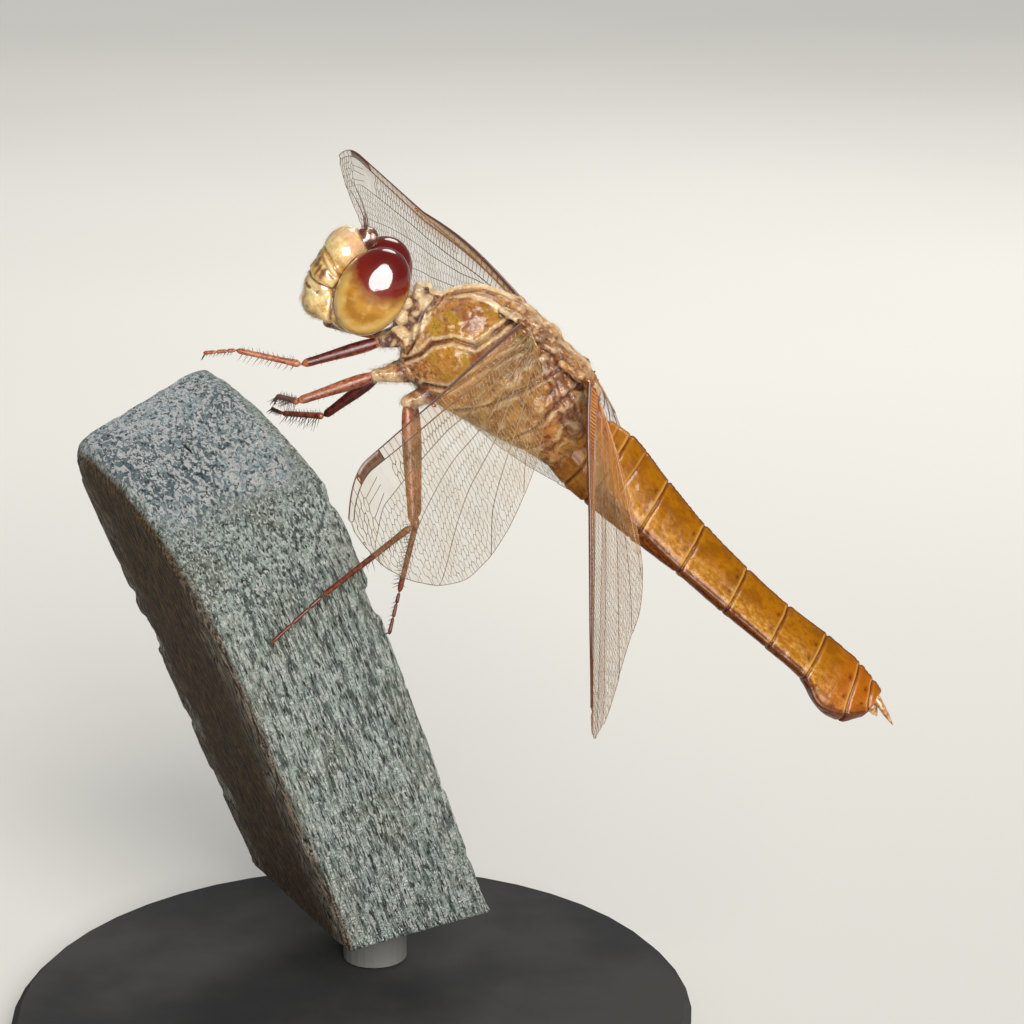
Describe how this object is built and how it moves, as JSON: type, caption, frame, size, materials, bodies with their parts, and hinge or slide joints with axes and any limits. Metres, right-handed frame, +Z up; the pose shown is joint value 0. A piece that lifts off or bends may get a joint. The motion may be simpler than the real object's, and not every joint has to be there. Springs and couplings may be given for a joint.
{
  "type": "female flame skimmer dragonfly on a cut stake and display stand",
  "caption": "Amber dragonfly with maroon and tan eyes and clear gold-washed wings, perched by its legs on the worn end of a leaning square stake held by a plain round stand.",
  "frame": {"origin": "centre of the stand base's underside", "axes": "+Z up; the head points towards -X and the insect's left side faces -Y"},
  "size_m": [0.0768, 0.0978, 0.0829],
  "materials": {
    "eye": "glossy two-tone compound eye, maroon above and tan below",
    "face": "pale tan-yellow cuticle with brown grooves and fine hairs",
    "thorax": "ochre and olive-tan cuticle under fine pale hair",
    "abdomen": "satin orange-amber cuticle, darker at the joints",
    "claw": "dark red-brown cuticle",
    "antenna": "dark brown bristle",
    "wing": "clear membrane with a gold wash and a net of dark veins",
    "leg": "red-brown cuticle with dark spines",
    "weathered_wood": "silver-grey weathered wood with open grain",
    "stand": "satin charcoal"
  },
  "bodies": {
    "root": {"abdomen_s1": "abdomen", "abdomen_s10": "abdomen", "abdomen_s2": "abdomen", "abdomen_s3": "abdomen", "abdomen_s4": "abdomen", "abdomen_s5": "abdomen", "abdomen_s6": "abdomen", "abdomen_s7": "abdomen", "abdomen_s8": "abdomen", "abdomen_s9": "abdomen", "antenna_left": "antenna", "antenna_right": "antenna", "cercus_left": "claw", "cercus_right": "claw", "clypeus": "face", "coxa_fore_left": "leg", "coxa_fore_right": "leg", "coxa_hind_left": "leg", "coxa_hind_right": "leg", "coxa_mid_left": "leg", "coxa_mid_right": "leg", "eye_left": "eye", "eye_right": "eye", "femur_fore_left": "leg", "femur_fore_right": "leg", "femur_hind_left": "leg", "femur_hind_right": "leg", "femur_mid_left": "leg", "femur_mid_right": "leg", "forewing_left": "wing", "forewing_right": "wing", "frons": "face", "head": "face", "hindwing_left": "wing", "hindwing_right": "wing", "labium": "face", "labrum": "face", "mesothorax": "thorax", "metathorax": "thorax", "neck": "thorax", "perch_stake": "weathered_wood", "prothorax": "thorax", "stand_base": "stand", "stand_rod": "stand", "tarsus_fore_left": "leg", "tarsus_fore_right": "leg", "tarsus_hind_left": "leg", "tarsus_hind_right": "leg", "tarsus_mid_left": "leg", "tarsus_mid_right": "leg", "tibia_fore_left": "leg", "tibia_fore_right": "leg", "tibia_hind_left": "leg", "tibia_hind_right": "leg", "tibia_mid_left": "leg", "tibia_mid_right": "leg", "vertex": "face"}
  },
  "joints": []
}
